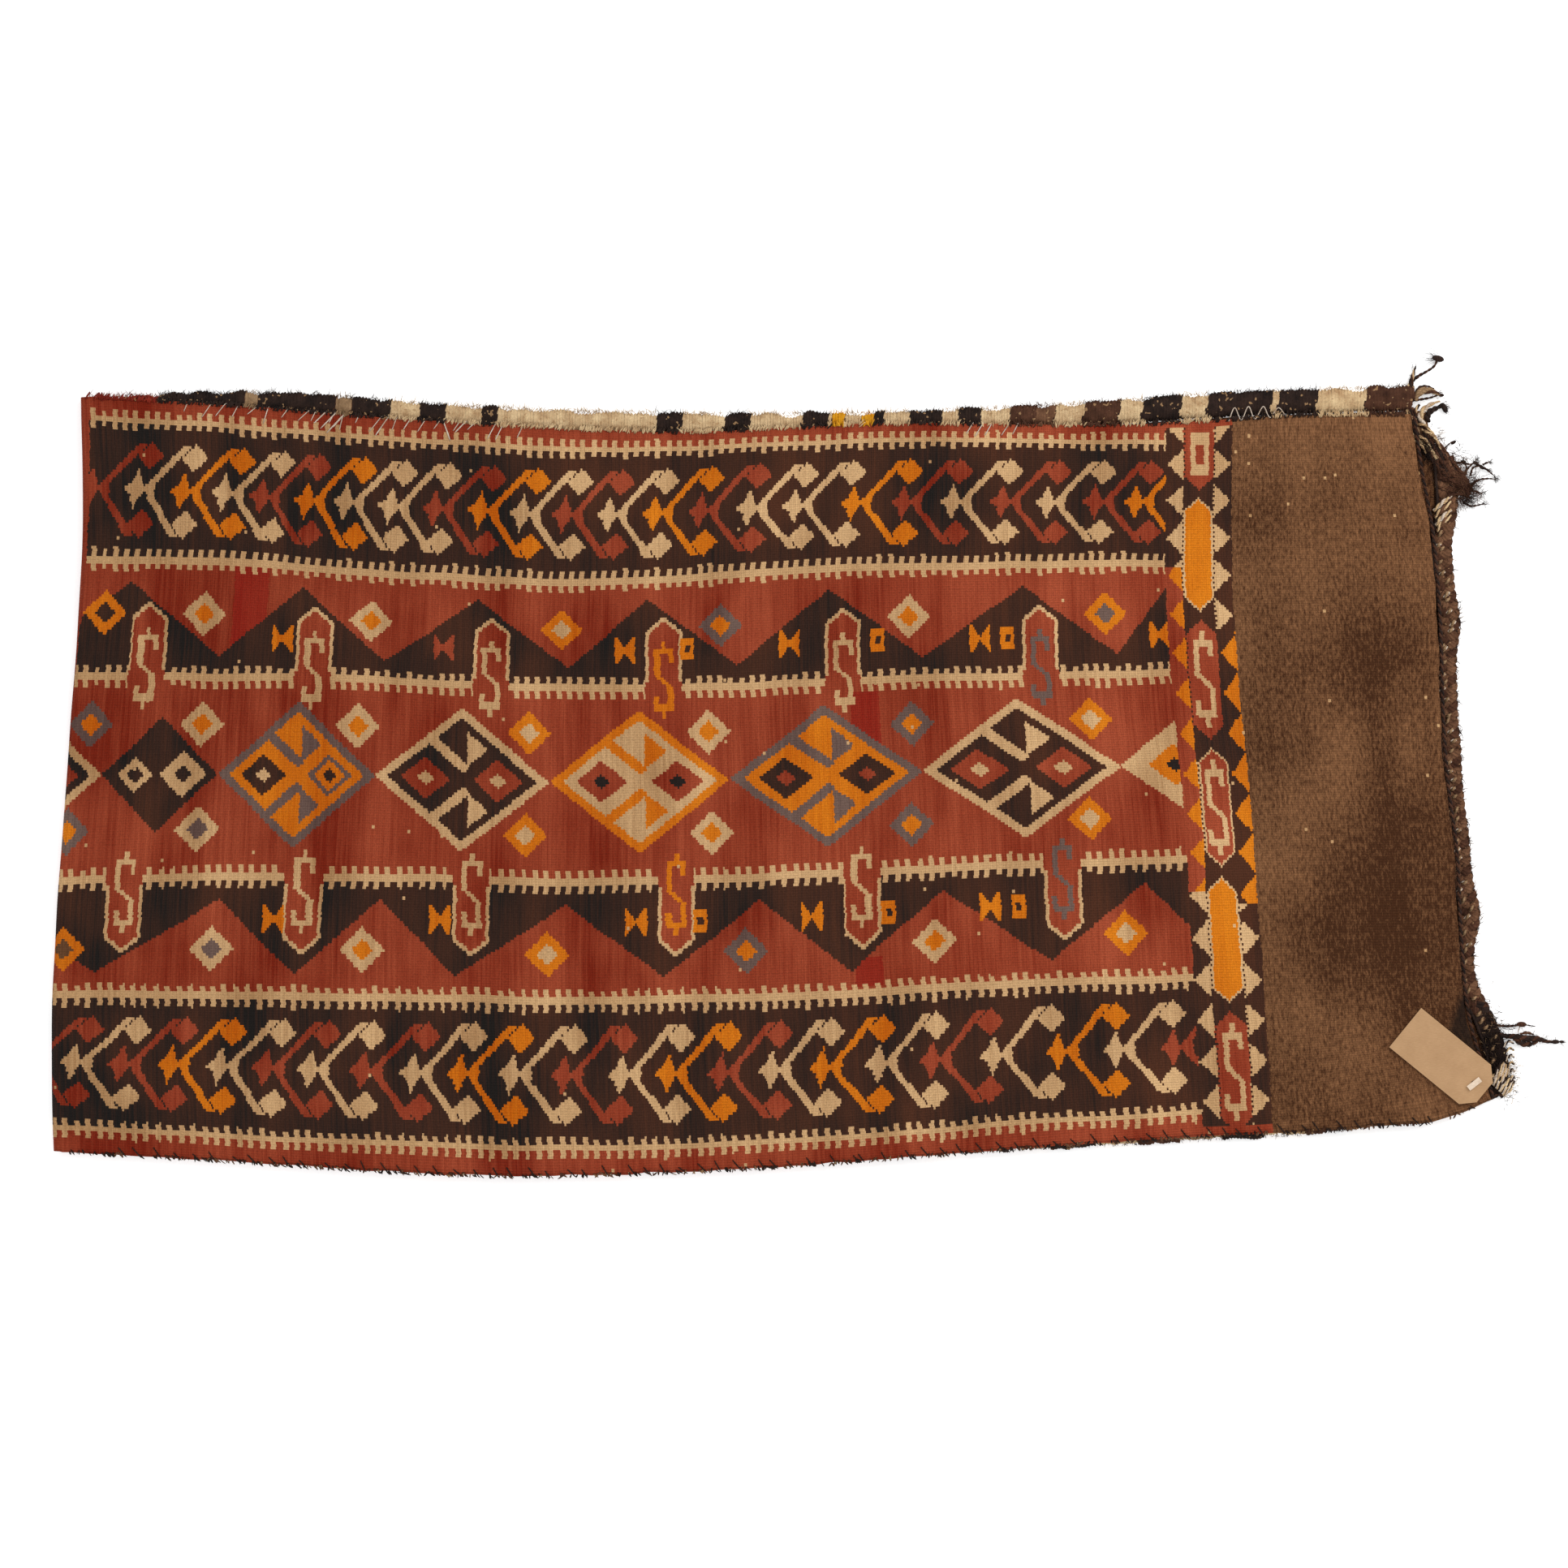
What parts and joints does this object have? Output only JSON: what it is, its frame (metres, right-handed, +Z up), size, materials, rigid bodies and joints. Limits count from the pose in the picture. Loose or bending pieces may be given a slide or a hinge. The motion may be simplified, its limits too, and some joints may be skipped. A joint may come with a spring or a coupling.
{
  "type": "kilim saddle bag",
  "caption": "Large empty flat-woven wool kilim saddle bag with bound sides, a braided mouth, plaited corner ties and a blank card tag, lying flat.",
  "frame": {"origin": "on the surface that the bag lies on, under the middle of its bounding box", "axes": "+X from the folded bottom of the bag towards its open mouth, +Y towards its left side, +Z up out of the patterned front"},
  "size_m": [1.2244, 0.6692, 0.015],
  "materials": {
    "kilim": "coarse flat-woven wool",
    "goat_hair": "dark spun goat hair",
    "cream_wool": "wrapped and braided wool in natural and dyed colours",
    "cotton": "cotton sewing thread",
    "card": "matt manila card",
    "nylon": "translucent white nylon"
  },
  "bodies": {
    "root": {"bag_back": "kilim", "bag_fold": "kilim", "bag_front": "kilim", "left_side_binding": "cream_wool", "right_side_binding": "cream_wool", "back_mouth_braid": "cream_wool", "front_mouth_cord": "goat_hair", "left_seam_thread": "cotton", "left_seam_repair_thread": "cotton", "right_seam_thread": "goat_hair", "left_corner_plait_1": "goat_hair", "left_corner_plait_2": "goat_hair", "left_corner_plait_3": "goat_hair", "left_corner_plait_4": "goat_hair", "left_corner_tuft": "goat_hair", "right_corner_plait_1": "goat_hair", "right_corner_plait_2": "goat_hair", "right_corner_tuft": "goat_hair", "tag": "card", "tag_fastener": "nylon"}
  },
  "joints": []
}
